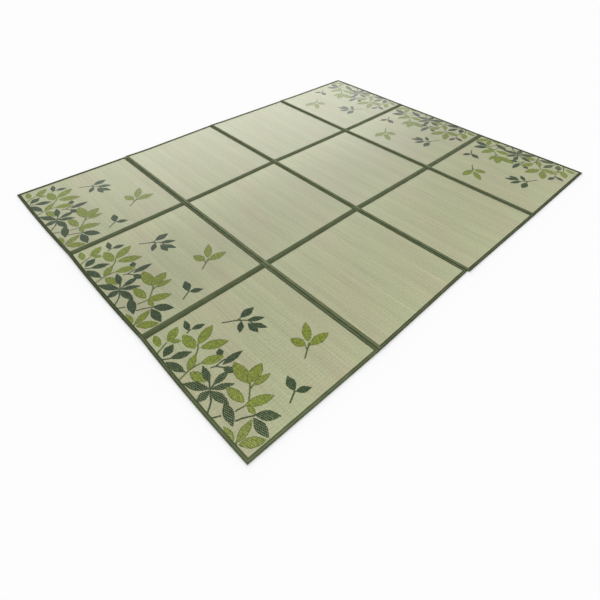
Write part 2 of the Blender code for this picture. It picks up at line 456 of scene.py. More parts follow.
# The leaf pattern of one panel, from the mat's end edge and a long line of the strip.
# Each sprig has its stems and then its leaves: tone, along, across, length, width, heading.
SPRIGS: dict[str, tuple[Stem | Leaf, ...]] = {
    "loose dark sprig": (
        Stem(Tone.DARK_STEM, ((255, 133), (308, 164), (334, 190))),
        Stem(Tone.DARK_STEM, ((319, 160), (305, 162), (314, 175))),
        Stem(Tone.DARK_STEM, ((333, 189), (336, 210))),
        Leaf(Tone.DARK, 317, 159, 74, 33, -6),
        Leaf(Tone.DARK, 328, 184, 70, 24, 30),
        Leaf(Tone.DARK, 332, 206, 64, 24, 62),
        Leaf(Tone.DARK, 324, 196, 62, 28, 90),
        Leaf(Tone.DARK, 312, 174, 56, 24, 134),
    ),
    "small dark pair": (
        Stem(Tone.DARK_STEM, ((135, 88), (157, 81))),
        Leaf(Tone.DARK, 146, 85, 56, 24, -74),
        Leaf(Tone.DARK, 156, 83, 54, 23, 15),
    ),
    "first bright head": (
        Stem(Tone.BRIGHT_STEM, ((8, 97), (62, 75))),
        Leaf(Tone.BRIGHT, 34, 76, 58, 28, -80),
        Leaf(Tone.BRIGHT, 65, 76, 72, 36, -30),
        Leaf(Tone.BRIGHT, 72, 78, 40, 20, 40),
    ),
    "edge dark sprig": (
        Stem(Tone.DARK_STEM, ((8, 125), (39, 144))),
        Leaf(Tone.DARK, 21, 121, 60, 34, -23),
        Leaf(Tone.DARK, 34, 141, 78, 30, 21),
        Leaf(Tone.DARK, 17, 142, 88, 31, 72),
    ),
    "large bright head": (
        Stem(Tone.BRIGHT_STEM, ((102, 195), (127, 172), (138, 155))),
        Leaf(Tone.BRIGHT, 121, 166, 84, 42, -90),
        Leaf(Tone.BRIGHT, 136, 156, 97, 38, -23),
        Leaf(Tone.BRIGHT, 135, 173, 101, 40, 25),
    ),
    "middle dark twig": (
        Stem(Tone.DARK_STEM, ((114, 265), (128, 271), (171, 268))),
        Stem(Tone.DARK_STEM, ((129, 270), (146, 293))),
        Leaf(Tone.DARK, 165, 251, 36, 26, -62),
        Leaf(Tone.DARK, 149, 281, 88, 28, 0),
        Leaf(Tone.DARK, 146, 290, 46, 28, 72),
    ),
    "middle bright spray": (
        Stem(Tone.BRIGHT_STEM, ((8, 236), (47, 227), (78, 224), (105, 229))),
        Leaf(Tone.BRIGHT, 53, 224, 68, 29, -35),
        Leaf(Tone.BRIGHT, 101, 228, 80, 36, 21),
        Leaf(Tone.BRIGHT, 55, 233, 70, 37, 74),
    ),
    "dark star": (
        Stem(Tone.DARK_STEM, ((8, 399), (45, 368), (66, 331))),
        Stem(Tone.DARK_STEM, ((8, 413), (37, 429))),
        Stem(Tone.DARK_STEM, ((66, 331), (71, 322), (82, 306))),
        Stem(Tone.DARK_STEM, ((66, 331), (86, 325))),
        Leaf(Tone.DARK, 79, 312, 76, 26, -74),
        Leaf(Tone.DARK, 80, 325, 76, 26, -8),
        Leaf(Tone.DARK, 67, 332, 80, 24, 27),
        Leaf(Tone.DARK, 67, 331, 96, 32, -124),
        Leaf(Tone.DARK, 64, 333, 58, 29, 172),
        Leaf(Tone.DARK, 63, 334, 84, 31, 79),
        Leaf(Tone.DARK, 73, 396, 94, 35, 110),
    ),
    "bright tulip": (
        Stem(Tone.BRIGHT_STEM, ((129, 448), (158, 416), (179, 391))),
        Stem(Tone.BRIGHT_STEM, ((157, 417), (179, 410))),
        Leaf(Tone.BRIGHT, 170, 400, 104, 46, -83),
        Leaf(Tone.BRIGHT, 166, 396, 90, 43, -20),
        Leaf(Tone.BRIGHT, 171, 412, 74, 25, 3),
    ),
    "lower bright pair": (
        Stem(Tone.BRIGHT_STEM, ((78, 446), (116, 453))),
        Leaf(Tone.BRIGHT, 116, 442, 84, 36, -95),
        Leaf(Tone.BRIGHT, 110, 450, 98, 37, 22),
        Leaf(Tone.BRIGHT, 117, 455, 42, 20, 92),
    ),
    "lower dark pair": (
        Stem(Tone.DARK_STEM, ((57, 472), (80, 480), (112, 498))),
        Leaf(Tone.DARK, 111, 494, 84, 38, 47),
        Leaf(Tone.DARK, 103, 499, 84, 35, 96),
    ),
    "corner bright leaves": (
        Stem(Tone.BRIGHT_STEM, ((8, 536), (24, 524))),
        Leaf(Tone.BRIGHT, 17, 530, 86, 29, -19),
        Leaf(Tone.BRIGHT, 17, 520, 58, 21, -85),
        Leaf(Tone.BRIGHT, 18, 537, 82, 36, 33),
    ),
    "loose bright sprig": (
        Stem(Tone.BRIGHT_STEM, ((364, 450), (424, 411))),
        Stem(Tone.BRIGHT_STEM, ((404, 416), (398, 424), (418, 420))),
        Leaf(Tone.BRIGHT, 406, 414, 64, 37, -108),
        Leaf(Tone.BRIGHT, 422, 408, 92, 34, -53),
        Leaf(Tone.BRIGHT, 416, 420, 88, 37, 4),
    ),
    "loose dark pair": (
        Stem(Tone.DARK_STEM, ((215, 539), (257, 517))),
        Leaf(Tone.DARK, 255, 519, 64, 33, -70),
        Leaf(Tone.DARK, 255, 520, 56, 26, 27),
    ),
}


class LeafPattern:
    """The leaf pattern as the weaver reads it: which rush shows where along each course."""

    RIM_WIDTH = 2.2
    END_STEP = 2.0

    def __init__(self) -> None:
        """Works out the outline of every leaf and stem once."""
        self.shapes: list[tuple[Tone, list[tuple[float, float]]]] = []
        for sprig in SPRIGS.values():
            for part in sprig:
                if isinstance(part, Stem):
                    self.shapes += [(part.tone, outline) for outline in part.pieces()]
                elif part.tone is Tone.BRIGHT:
                    self.shapes.append((Tone.RIM, part.outline()))
                    self.shapes.append((Tone.BRIGHT, part.outline(self.RIM_WIDTH)))
                else:
                    self.shapes.append((part.tone, part.outline()))

    @staticmethod
    def crossings(outline: list[tuple[float, float]], along: float) -> list[tuple[float, float]]:
        """Where a course passes through one outline.

        Args:
            outline: The outline's points, as (along, across).
            along: The course's place.

        Returns:
            The lengths of the course inside it, as (from, to) across the panel.
        """
        hits = []
        for (a, b), (c, d) in zip(outline, outline[1:] + outline[:1]):
            if (a - along) * (c - along) < 0.0:
                hits.append(b + (d - b) * (along - a) / (c - a))
        hits.sort()
        return list(zip(hits[::2], hits[1::2]))

    def course(self, along: float) -> list[tuple[float, float, Tone]]:
        """The dyed lengths of one course.

        Args:
            along: The course's place from the mat's end edge, in millimetres.

        Returns:
            Lengths that don't overlap, as (from, to, tone) in millimetres across the panel.
        """
        found = []
        for tone, outline in self.shapes:
            for first, last in self.crossings(outline, along):
                first, last = (round(v / self.END_STEP) * self.END_STEP for v in (first, last))
                if last > first:
                    found.append((first, last, tone))
        cuts = sorted({v for first, last, _ in found for v in (first, last)})
        lengths = []
        for first, last in zip(cuts, cuts[1:]):
            middle = (first + last) / 2
            covering = [tone for a, b, tone in found if a < middle < b]
            if covering:
                lengths.append((first, last, covering[-1]))
        return lengths


class NodeSheet:
    """A node material being built: short ways to add and join its nodes."""

    def __init__(self, name: str) -> None:
        """Makes an empty node material.

        Args:
            name: The material's name.
        """
        self.material = bpy.data.materials.new(name)
        self.material.use_nodes = True
        self.tree = self.material.node_tree
        self.surface = self.tree.nodes["Principled BSDF"]

    def add(self, kind: str, inputs: dict | None = None, **settings) -> bpy.types.Node:
        """Adds a node.

        Args:
            kind: The node's type.
            inputs: Values or output sockets for its inputs, by name or number.
            settings: The node's own settings.

        Returns:
            The node.
        """
        node = self.tree.nodes.new(kind)
        for key, value in settings.items():
            setattr(node, key, value)
        for key, value in (inputs or {}).items():
            self.feed(node.inputs[key], value)
        return node

    def feed(self, socket: bpy.types.NodeSocket, value) -> None:
        """Joins an output to a socket, or sets the socket's value.

        Args:
            socket: The input.
            value: An output socket, or a plain value.
        """
        if isinstance(value, bpy.types.NodeSocket):
            self.tree.links.new(value, socket)
        else:
            socket.default_value = value

    def math(self, operation: str, first, second=0.0, third=0.0) -> bpy.types.NodeSocket:
        """The output of a Math node.

        Args:
            operation: What the node does.
            first: Its first input.
            second: Its second input.
            third: Its third input.

        Returns:
            The output socket.
        """
        return self.add("ShaderNodeMath", {0: first, 1: second, 2: third}, operation=operation).outputs[0]

    def stretched(self, vector: bpy.types.NodeSocket, scale: Point) -> bpy.types.NodeSocket:
        """A vector scaled by a Mapping node.

        Args:
            vector: The vector's socket.
            scale: The factor on each axis.

        Returns:
            The scaled vector's socket.
        """
        return self.add("ShaderNodeMapping", {"Vector": vector, "Scale": scale}).outputs[0]

    def noise(self, vector: bpy.types.NodeSocket, scale: Point, detail: float = 2.0) -> bpy.types.NodeSocket:
        """Noise of about one unit, stretched by the scale, from 0 to 1.

        Args:
            vector: The place that the noise is read at.
            scale: The factor on each axis.
            detail: How much fine noise is added.

        Returns:
            The noise's socket.
        """
        inputs = {"Vector": self.stretched(vector, scale), "Scale": 1.0, "Detail": detail, "Roughness": 0.55}
        return self.add("ShaderNodeTexNoise", inputs).outputs["Fac"]

    def ranged(self, value: bpy.types.NodeSocket, low: float, high: float, to_low: float,
               to_high: float) -> bpy.types.NodeSocket:
        """A value moved from one range to another, and held inside it.

        Args:
            value: The value's socket.
            low: The low end of its range.
            high: The high end of its range.
            to_low: What the low end becomes.
            to_high: What the high end becomes.

        Returns:
            The moved value's socket.
        """
        inputs = {"Value": value, "From Min": low, "From Max": high, "To Min": to_low, "To Max": to_high}
        return self.add("ShaderNodeMapRange", inputs, clamp=True).outputs[0]

    def mixed(self, factor, first, second, blend: str = "MIX") -> bpy.types.NodeSocket:
        """Two colours mixed.

        Args:
            factor: How much of the second colour shows.
            first: A colour or its socket.
            second: A colour or its socket.
            blend: How they are mixed.

        Returns:
            The mixed colour's socket.
        """
        node = self.add("ShaderNodeMix", data_type="RGBA", blend_type=blend)
        for number, value in ((0, factor), (6, first), (7, second)):
            if isinstance(value, tuple) and len(value) == 3:
                value = (*value, 1.0)
            self.feed(node.inputs[number], value)
        return node.outputs[2]

    def brightened(self, colour, factor: bpy.types.NodeSocket) -> bpy.types.NodeSocket:
        """A colour multiplied by a number.

        Args:
            colour: The colour or its socket.
            factor: The number's socket.

        Returns:
            The new colour's socket.
        """
        grey = self.add("ShaderNodeCombineColor", {0: factor, 1: factor, 2: factor}).outputs[0]
        return self.mixed(1.0, colour, grey, "MULTIPLY")

    def uneven(self, height: bpy.types.NodeSocket, distance: float, strength: float = 1.0) -> None:
        """Gives the surface a bump.

        Args:
            height: The height's socket.
            distance: How deep the bump is, in metres.
            strength: How strongly it shows, from 0 to 1.
        """
        inputs = {"Height": height, "Distance": distance, "Strength": strength}
        self.feed(self.surface.inputs["Normal"], self.add("ShaderNodeBump", inputs).outputs[0])

    def surface_values(self, **values: float) -> None:
        """Sets plain values of the surface, their names with underscores for spaces.

        Args:
            values: The values, by name.
        """
        for name, value in values.items():
            self.surface.inputs[name.replace("_", " ")].default_value = value


@dataclass(frozen=True)
class RushFinish:
    """Woven rush: stalks of slightly different tone, thin lines of warp, and a soft satin gloss."""

    plain: Colour = linear(168, 172, 136)
    dark: Colour = linear(26, 54, 14)
    bright: Colour = linear(110, 125, 22)
    rim: Colour = linear(78, 94, 34)
    dark_stem: Colour = linear(50, 66, 34)
    bright_stem: Colour = linear(80, 94, 36)
    twill_share: float = 0.50
    twill_spread: float = 0.10
    stem_share: float = 0.05
    warp_pitch: float = 0.0125

    def shade(self, tone: Tone, step: int, slack: float, chance: random.Random) -> Colour:
        """The colour of a length of rush.

        Args:
            tone: The rush used.
            step: Its step in the twill, 0 to 2: at step 0 the plain rush shows through.
            slack: How much of it shows, from 0 to 1.
            chance: Gives each length its own share of plain rush.

        Returns:
            The linear colour.
        """
        colours = {
            Tone.PLAIN: self.plain, Tone.DARK: self.dark, Tone.BRIGHT: self.bright, Tone.RIM: self.rim,
            Tone.DARK_STEM: self.dark_stem, Tone.BRIGHT_STEM: self.bright_stem,
        }
        colour = colours[tone]
        if tone is Tone.PLAIN:
            return colour
        share = self.stem_share
        if tone in (Tone.DARK, Tone.BRIGHT):
            share = slack * (self.twill_share if step == 0 else 0.0)
            share += chance.uniform(-0.8, 0.8) * self.twill_spread
        return tuple(between(a, b, max(share, 0.0)) for a, b in zip(colour, self.plain))

    def build(self) -> bpy.types.Material:
        """Makes the material. It reads the "rush_tone" colours and the "weave" map, in metres.

        Returns:
            The material.
        """
        sheet = NodeSheet("woven_rush")
        weave = sheet.add("ShaderNodeUVMap", uv_map="weave").outputs[0]
        woven = sheet.add("ShaderNodeAttribute", attribute_name="rush_tone")
        tone, dyed = woven.outputs["Color"], woven.outputs["Alpha"]
        parts = sheet.add("ShaderNodeSeparateXYZ", {0: weave})
        stalks = sheet.noise(weave, (330.0, 5.0, 1.0))
        fibres = sheet.noise(weave, (1500.0, 40.0, 1.0), 1.0)
        blotches = sheet.noise(weave, (190.0, 95.0, 1.0), 2.0)
        patches = sheet.noise(weave, (5.5, 2.4, 1.0), 1.0)
        turn = sheet.math("MULTIPLY", parts.outputs[1], math.tau / self.warp_pitch)
        wave = sheet.math("ABSOLUTE", sheet.math("COSINE", sheet.math("MULTIPLY", turn, 0.5)))
        warp = sheet.math("POWER", wave, 14.0)
        patch = sheet.ranged(patches, 0.40, 0.66, 0.0, 1.0)
        tinted = sheet.mixed(patch, tone, (1.04, 0.955, 1.02), "MULTIPLY")
        light = sheet.math("ADD", sheet.ranged(stalks, 0.25, 0.75, 0.88, 1.11),
                           sheet.ranged(fibres, 0.2, 0.8, -0.03, 0.03))
        reach = sheet.ranged(dyed, 0.0, 1.0, 0.075, 0.42)
        blotch = sheet.ranged(blotches, 0.3, 0.7, -1.0, 1.0)
        light = sheet.math("ADD", light, sheet.math("MULTIPLY", blotch, reach))
        light = sheet.math("SUBTRACT", light, sheet.math("MULTIPLY", warp, 0.08))
        sheet.feed(sheet.surface.inputs["Base Color"], sheet.brightened(tinted, light))
        sheet.feed(sheet.surface.inputs["Roughness"], sheet.ranged(stalks, 0.2, 0.8, 0.36, 0.46))
        height = sheet.math("SUBTRACT", sheet.math("ADD", fibres, stalks), warp)
        sheet.uneven(height, 0.00018)
        sheet.surface_values(Specular_IOR_Level=0.22)
        return sheet.material


@dataclass(frozen=True)
class BackingFinish:
    """The thin pressed cloth glued under the rush: pale grey, with short loose fibres."""

    pale: Colour = linear(196, 200, 200)
    grey: Colour = linear(168, 174, 176)

    def build(self) -> bpy.types.Material:
        """Makes the material.

        Returns:
            The material.
        """
        sheet = NodeSheet("pressed_backing")
        weave = sheet.add("ShaderNodeUVMap", uv_map="weave").outputs[0]
        flecks = sheet.noise(weave, (420.0, 360.0, 1.0), 4.0)
        clouds = sheet.noise(weave, (22.0, 26.0, 1.0), 3.0)
        both = sheet.math("ADD", sheet.math("MULTIPLY", flecks, 0.6), sheet.math("MULTIPLY", clouds, 0.4))
        colour = sheet.mixed(sheet.ranged(both, 0.35, 0.65, 0.0, 1.0), self.pale, self.grey)
        sheet.feed(sheet.surface.inputs["Base Color"], colour)
        sheet.uneven(flecks, 0.0004)
        sheet.surface_values(Roughness=0.9, Sheen_Weight=0.2)
        return sheet.material


@dataclass(frozen=True)
class TapeFinish:
    """Flat green cotton tape with a ribbed weave, deeper where new and paler where worn, and with painted
    highlight and shade.
    """

    name: str = "green_tape"
    deep: Colour = linear(46, 58, 24)
    pale_green: Colour = linear(124, 134, 98)
    rib_pitch: float = 0.0013

    def shade(self, wear_and_light: float) -> Colour:
        """The tape's colour at a paleness of 0 to 1, from its wear and from painted highlight and shade.

        Args:
            wear_and_light: How pale the tape is, by wear and by painted highlight and shade, from 0 to 1.

        Returns:
            The linear colour.
        """
        return tuple(between(a, b, wear_and_light) for a, b in zip(self.deep, self.pale_green))

    def build(self) -> bpy.types.Material:
        """Makes the material. It reads the "tape_tone" colours and the "tape" map, in metres.

        Returns:
            The material.
        """
        sheet = NodeSheet(self.name)
        cloth = sheet.add("ShaderNodeUVMap", uv_map="tape").outputs[0]
        tone = sheet.add("ShaderNodeAttribute", attribute_name="tape_tone").outputs["Color"]
        parts = sheet.add("ShaderNodeSeparateXYZ", {0: cloth})
        rib = sheet.math("SINE", sheet.math("MULTIPLY", parts.outputs[0], math.tau / self.rib_pitch))
        yarn = sheet.math("SINE", sheet.math("MULTIPLY", parts.outputs[1], math.tau / (self.rib_pitch * 0.7)))
        cloth_height = sheet.math("ADD", rib, sheet.math("MULTIPLY", yarn, 0.6))
        slubs = sheet.noise(cloth, (160.0, 900.0, 1.0), 2.0)
        wear = sheet.noise(cloth, (30.0, 60.0, 1.0), 3.0)
        light = sheet.math("ADD", sheet.ranged(slubs, 0.2, 0.8, 0.90, 1.10),
                           sheet.ranged(wear, 0.3, 0.7, -0.09, 0.09))
        light = sheet.math("ADD", light, sheet.math("MULTIPLY", cloth_height, 0.035))
        sheet.feed(sheet.surface.inputs["Base Color"], sheet.brightened(tone, light))
        sheet.uneven(sheet.math("ADD", cloth_height, slubs), 0.00012)
        sheet.surface_values(Roughness=0.82, Sheen_Weight=0.05, Sheen_Roughness=0.5, Specular_IOR_Level=0.08)
        return sheet.material


@dataclass(frozen=True)
class ThreadFinish:
    """Sewing thread: twisted green cotton."""

    name: str
    colour: Colour

    def build(self) -> bpy.types.Material:
        """Makes the material.

        Returns:
            The material.
        """
        sheet = NodeSheet(self.name)
        place = sheet.add("ShaderNodeTexCoord").outputs["Object"]
        twist = sheet.noise(place, (1600.0, 1600.0, 1600.0), 1.0)
        colour = sheet.brightened((*self.colour, 1.0), sheet.ranged(twist, 0.3, 0.7, 0.8, 1.2))
        sheet.feed(sheet.surface.inputs["Base Color"], colour)
        sheet.uneven(twist, 0.0002)
        sheet.surface_values(Roughness=0.7, Sheen_Weight=0.3)
        return sheet.material


class Finishes:
    """Every finish of the mat, made once."""

    def __init__(self) -> None:
        """Builds the materials."""
        self.rush_tones = RushFinish()
        self.tape_tones = TapeFinish()
        self.rush = self.rush_tones.build()
        self.backing = BackingFinish().build()
        self.tape = self.tape_tones.build()
        self.thread = ThreadFinish("sewing_thread", linear(84, 94, 62)).build()
        self.lacing = ThreadFinish("lacing_thread", linear(38, 46, 26)).build()


class ClothMesh:
    """A cloth piece being built: points that remember their place on the flat cloth."""

    def __init__(self, map_name: str, tone_name: str, painted_sheen: Callable[[float], float] | None = None) -> None:
        """Starts an empty piece.

        Args:
            map_name: The name of the flat map.
            tone_name: The name of the colours.
            painted_sheen: Gives the painted sheen and shade, as the cloth's lightness from the place across
                it.
        """
        self.painted_sheen = painted_sheen
        self.map_name = map_name
        self.tone_name = tone_name
        self.points: list[Point] = []
        self.flat: list[tuple[float, float]] = []
        self.faces: list[tuple[int, ...]] = []
        self.tones: list[tuple[float, ...]] = []
        self.slots: list[int] = []

    def point(self, place: Point, flat: tuple[float, float]) -> int:
        """Adds a point and gives its number.

        Args:
            place: Where it lies on the mat.
            flat: Where it lies on the flat cloth.

        Returns:
            The point's number.
        """
        self.points.append(place)
        self.flat.append(flat)
        return len(self.points) - 1

    def face(self, corners: Sequence[int], tone: Colour, slot: int = 0, dyed: float = 0.0) -> None:
        """Adds a face.

        Args:
            corners: The numbers of its points.
            tone: Its colour.
            slot: Its material's number.
            dyed: How far it is dyed, from 0 to 1.
        """
        self.faces.append(tuple(corners))
        self.tones.append((*tone, dyed))
        self.slots.append(slot)

    def finish(self, name: str, materials: Iterable[bpy.types.Material],
               sharp_angle: float) -> bpy.types.Object:
        """Turns the piece into an object, its faces pointing outwards.

        Args:
            name: The object's name.
            materials: Its materials, in the order of the faces' numbers.
            sharp_angle: Edges sharper than this many degrees stay sharp.

        Returns:
            The object.
        """
        mesh = bpy.data.meshes.new(name)
        mesh.from_pydata(self.points, [], self.faces)
        mesh.polygons.foreach_set("material_index", self.slots)
        sheet = bmesh.new()
        sheet.from_mesh(mesh)
        bmesh.ops.recalc_face_normals(sheet, faces=sheet.faces)
        if sheet.calc_volume(signed=True) < 0.0:
            bmesh.ops.reverse_faces(sheet, faces=sheet.faces)
        sheet.to_mesh(mesh)
        sheet.free()
        corners = np.zeros(len(mesh.loops), np.int32)
        mesh.loops.foreach_get("vertex_index", corners)
        flat_map = mesh.uv_layers.new(name=self.map_name)
        flat_map.uv.foreach_set("vector", np.array(self.flat, np.float32)[corners].ravel())
        sizes = np.zeros(len(mesh.polygons), np.int32)
        mesh.polygons.foreach_get("loop_total", sizes)
        tones = np.repeat(np.array(self.tones, np.float32), sizes, axis=0)
        # Painted sheen and shade: the rush's colours are made lighter or darker across each strip
        if self.painted_sheen:
            lights = np.array([self.painted_sheen(across) for _, across in self.flat], np.float32)
            tones[:, :3] *= lights[corners][:, None]
        colours = mesh.color_attributes.new(self.tone_name, "FLOAT_COLOR", "CORNER")
        colours.data.foreach_set("color", tones.ravel())
        for material in materials:
            mesh.materials.append(material)
        mesh.shade_smooth()
        mesh.set_sharp_from_angle(angle=math.radians(sharp_angle))
        piece = bpy.data.objects.new(name, mesh)
        bpy.context.scene.collection.objects.link(piece)
        return piece


def dress(piece: bpy.types.Object, node: str, slot: str, flat: tuple[float, float],
          sewn_on: Sequence[bpy.types.Object] = ()) -> None:
    """Args:
        piece: The cloth.
        node: The CAD node that it stands for.
        slot: The record's material slot; not used.
        flat: The size it is cut to; not used.
        sewn_on: Thread that goes with it.
    """
    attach(piece, BODY)
    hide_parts(node)
    for thread in sewn_on:
        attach(thread, BODY)


@dataclass(frozen=True)
class StripSheen:
    """The painted sheen and shade of one strip's rush: how light it is, and how that changes across the
    strip.
    """

    middle: float
    across: float
    bend: float

    def at(self, place: float) -> float:
        """The lightness at a place across the strip.

        Args:
            place: The distance from the strip's left line, in metres.

        Returns:
            The factor that the rush's colour is multiplied by.
        """
        part = place / STRIP_PITCH - 0.5
        return self.middle + self.across * part + self.bend * part * part


# The courses after which the twill of the leaves repeats
TWILL_STEPS = 3

# How far the plain rush shows through the twill at the mat's end, at each strip's left and right line
SLACK = ((0.20, 0.20), (0.10, 0.25), (0.20, 1.35))

# Painted sheen and shade on each strip's rush: the middle strip is darker and paler towards its edges, the
# left and right strips lighter towards the mat's left and right edges
STRIP_SHEEN = {
    1: StripSheen(1.0, -0.1, 0.0),
    2: StripSheen(0.9, -0.1, 0.5),
    3: StripSheen(1.0, 0.1, 0.2),
}


@dataclass
class RushPanel:
    """One square of woven rush with its pressed backing."""

    row: Row
    strip: int
    thickness: float = 0.0030
    edge_inset: float = 0.0014
    seam_inset: float = 0.0020
    edge_bottom: float = 0.0011
    step_inner: float = 0.0150
    step_outer: float = 0.0180
    course_pitch: float = 0.00222
    tie_pitch: float = 0.00733
    slack_reach: float = 0.30
    course_dip: float = 0.00028
    column_count: int = 8
    far_slack: float = 0.25
    tone_spread: float = 0.022
    warm_spread: float = 0.008
    odd_share: float = 0.03
    odd_steps: tuple[float, float] = (-0.07, 0.06)

    @property
    def node(self) -> str:
        """The panel's CAD node.

        Returns:
            The node's name.
        """
        return f"panel_{self.row.number}_{self.strip}"

    @property
    def name(self) -> str:
        """The name of the woven panel.

        Returns:
            The name.
        """
        return f"woven_rush_{self.row.number}_{self.strip}"

    @property
    def left_line(self) -> float:
        """The y of the strip's left line.

        Returns:
            The y, in metres.
        """
        return self.row.left - (self.strip - 1) * STRIP_PITCH

    @property
    def right_line(self) -> float:
        """The y of the strip's right line.

        Returns:
            The y, in metres.
        """
        return self.left_line - STRIP_PITCH

    @property
    def left_edge(self) -> float:
        """The y of the panel's own left edge.

        Returns:
            The y, in metres.
        """
        return self.left_line - (self.edge_inset if self.strip == 1 else self.seam_inset)

    @property
    def right_edge(self) -> float:
        """The y of the panel's own right edge.

        Returns:
            The y, in metres.
        """
        return self.right_line + (self.edge_inset if self.strip == STRIP_COUNT else self.seam_inset)

    def underside(self, x: float, y: float) -> float:
        """How high the backing lies: it steps up over the binding's lower leg.

        Args:
            x: The place along the mat.
            y: The place across it.

        Returns:
            The height above the floor, in metres.
        """
        bound = [x - self.row.start, self.row.finish - x]
        if self.strip == 1:
            bound.append(self.row.left - y)
        if self.strip == STRIP_COUNT:
            bound.append(y - self.row.right)
        part = (self.step_outer - min(bound)) / (self.step_outer - self.step_inner)
        return self.edge_bottom * min(max(part, 0.0), 1.0)

    def dyed_lengths(self, pattern: LeafPattern, x: float) -> list[tuple[float, float, Tone]]:
        """The dyed lengths of the course at x.

        Args:
            pattern: The leaf pattern.
            x: The course's middle.

        Returns:
            Lengths from low to high y, as (from, to, tone) in metres, cut off at the panel's edges.
        """
        if self.row.number == 1:
            along = (x - self.row.start) / MILLIMETRE
            placed = [(self.left_line - b * MILLIMETRE, self.left_line - a * MILLIMETRE, tone)
                      for a, b, tone in pattern.course(along)]
        elif self.row.number == ROW_COUNT:
            along = (self.row.finish - x) / MILLIMETRE
            placed = [(self.right_line + a * MILLIMETRE, self.right_line + b * MILLIMETRE, tone)
                      for a, b, tone in pattern.course(along)]
        else:
            placed = []
        low, high = self.right_edge, self.left_edge
        placed = [(max(a, low), min(b, high), tone) for a, b, tone in placed]
        return [item for item in sorted(placed, key=lambda item: item[0]) if item[1] - item[0] > 1e-5]

    def tie(self, y: float) -> int:
        """The number of the warp tie at y, counted from the strip's left line.

        Args:
            y: The place across the mat.

        Returns:
            The tie's number.
        """
        return math.floor((self.left_line - y) / self.tie_pitch)

    def ties(self, low: float, high: float) -> list[float]:
        """The places of the warp ties between two y values.

        Args:
            low: The lower y.
            high: The higher y.

        Returns:
            The y of each tie, from high to low.
        """
        numbers = range(self.tie(high) + 1, self.tie(low) + 1)
        return [self.left_line - number * self.tie_pitch for number in numbers]

    def build(self, finishes: Finishes, pattern: LeafPattern) -> bpy.types.Object:
        """Weaves the panel and closes it with its backing.

        Args:
            finishes: The mat's finishes.
            pattern: The leaf pattern.

        Returns:
            The panel.
        """
        # The strip's painted sheen and shade goes into the rush's colours
        cloth = ClothMesh("weave", "rush_tone", STRIP_SHEEN[self.strip].at)
        first_x = self.row.start + self.edge_inset
        last_x = self.row.finish - self.edge_inset
        courses = round((last_x - first_x) / self.course_pitch)
        xs = [between(first_x, last_x, n / courses) for n in range(courses + 1)]
        columns = [between(self.right_edge, self.left_edge, n / self.column_count)
                   for n in range(self.column_count + 1)]
        chance = random.Random(self.row.number * 10 + self.strip)
        batch = Drift(self.row.number * 7 + self.strip, 0.045, 0.11)
        tones = finishes.rush_tones

        spans = []
        for n in range(courses):
            dyed = self.dyed_lengths(pattern, (xs[n] + xs[n + 1]) / 2)
            cuts = {mark(v) for v in columns}
            for low, high, _ in dyed:
                cuts |= {mark(v) for v in (low, *self.ties(low, high), high)}
            places = [value * MARK_STEP for value in sorted(cuts)]
            course_tones = []
            for low, high in zip(places, places[1:]):
                middle = (low + high) / 2
                here = [tone for a, b, tone in dyed if a < middle < b]
                course_tones.append(here[0] if here else Tone.PLAIN)
            spans.append((places, course_tones))

        def add_row(x: float, places: Iterable[float], top: float) -> dict[int, int]:
            """Adds one row of points to the top of the weave.

            Args:
                x: The row's place along the mat.
                places: The y of each point.
                top: The row's height.

            Returns:
                The points' numbers, by the mark of their y.
            """
            return {
                mark(y): cloth.point(self.row.laid(x, y, top), (x - self.row.start, self.left_line - y))
                for y in places
            }

        edges = []
        for n, x in enumerate(xs):
            near = [spans[m][0] for m in (n - 1, n) if 0 <= m < courses]
            places = sorted({mark(v): v for line in near for v in line}.values())
            edges.append(add_row(x, places, self.thickness - self.course_dip))
        left_side, right_side = [], []
        for n, (places, course_tones) in enumerate(spans):
            crown = add_row((xs[n] + xs[n + 1]) / 2, places, self.thickness)
            strength = 1.0 + chance.gauss(0.0, self.tone_spread) + batch.at(xs[n])
            if chance.random() < self.odd_share:
                strength += chance.choice(self.odd_steps)
            warm = 1.0 + chance.gauss(0.0, self.warm_spread)
            from_end = MAT_LENGTH / 2 - abs(xs[n])
            slack = between(1.0, self.far_slack, min(from_end / self.slack_reach, 1.0))
            for (low, high), tone in zip(zip(places, places[1:]), course_tones):
                middle = (low + high) / 2
                step = (n - self.tie(middle)) % TWILL_STEPS
                here = between(*SLACK[self.strip - 1], (self.left_line - middle) / STRIP_PITCH)
                red, green, blue = tones.shade(tone, step, slack * here, chance)
                shade = (red * strength * warm, green * strength, blue * strength / warm)
                for edge in (edges[n], edges[n + 1]):
                    chain = [edge[k] for k in sorted(edge) if mark(low) <= k <= mark(high)]
                    cloth.face([*chain, crown[mark(high)], crown[mark(low)]], shade,
                               dyed=0.0 if tone is Tone.PLAIN else 1.0)
            left_side += [edges[n][mark(places[-1])], crown[mark(places[-1])]]
            right_side += [edges[n][mark(places[0])], crown[mark(places[0])]]
        left_side.append(edges[-1][max(edges[-1])])
        right_side.append(edges[-1][min(edges[-1])])

        self.add_backing(cloth, xs, columns, edges, left_side, right_side, tones.plain)
        return cloth.finish(self.name, (finishes.rush, finishes.backing), 35.0)

